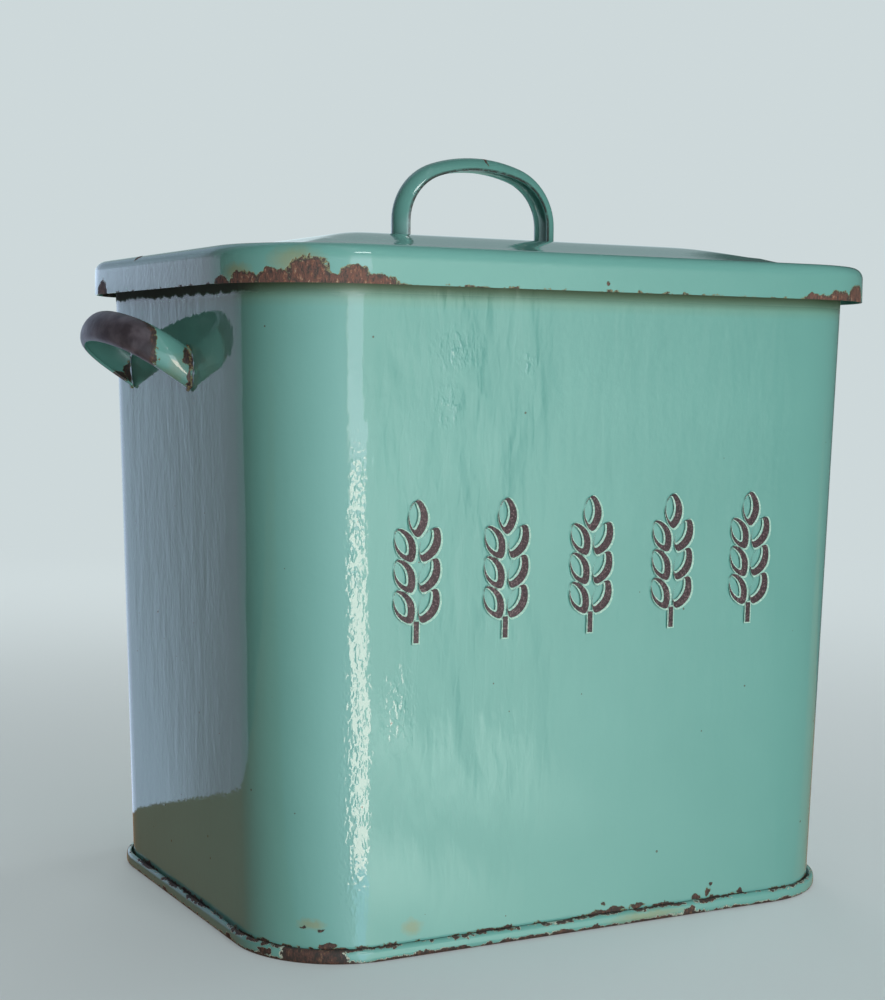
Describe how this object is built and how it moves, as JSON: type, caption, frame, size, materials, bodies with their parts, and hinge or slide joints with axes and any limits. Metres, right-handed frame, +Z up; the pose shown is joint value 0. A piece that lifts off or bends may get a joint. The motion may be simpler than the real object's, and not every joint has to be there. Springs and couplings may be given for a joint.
{
  "type": "bread bin",
  "caption": "Tall enamelled sheet-steel bread bin with a lift-off lid, a bowed handle on the lid and a bowed handle on each end.",
  "frame": {"origin": "centre of the bounding box, at the plane of the foot", "axes": "+Z up, +X along the long side towards one end handle, -Y towards the front"},
  "size_m": [0.3692, 0.2494, 0.3435],
  "materials": {
    "enamel": "glossy vitreous enamel, chipped to rust at the edges",
    "worn_enamel": "glossy vitreous enamel worn to bare dark steel along the top",
    "wire": "plain drawn steel wire, wrapped in the rim"
  },
  "bodies": {
    "bin": {"body_shell": "enamel", "rim_wire": "wire", "base_pan": "enamel", "left_handle": "worn_enamel", "right_handle": "worn_enamel"},
    "lid": {"lid_shell": "enamel", "lid_handle": "enamel"}
  },
  "joints": [
    {"name": "lid_lift", "type": "slide", "parent": "bin", "child": "lid", "axis": [0, 0, 1], "range_m": [0, 0.3]}
  ]
}
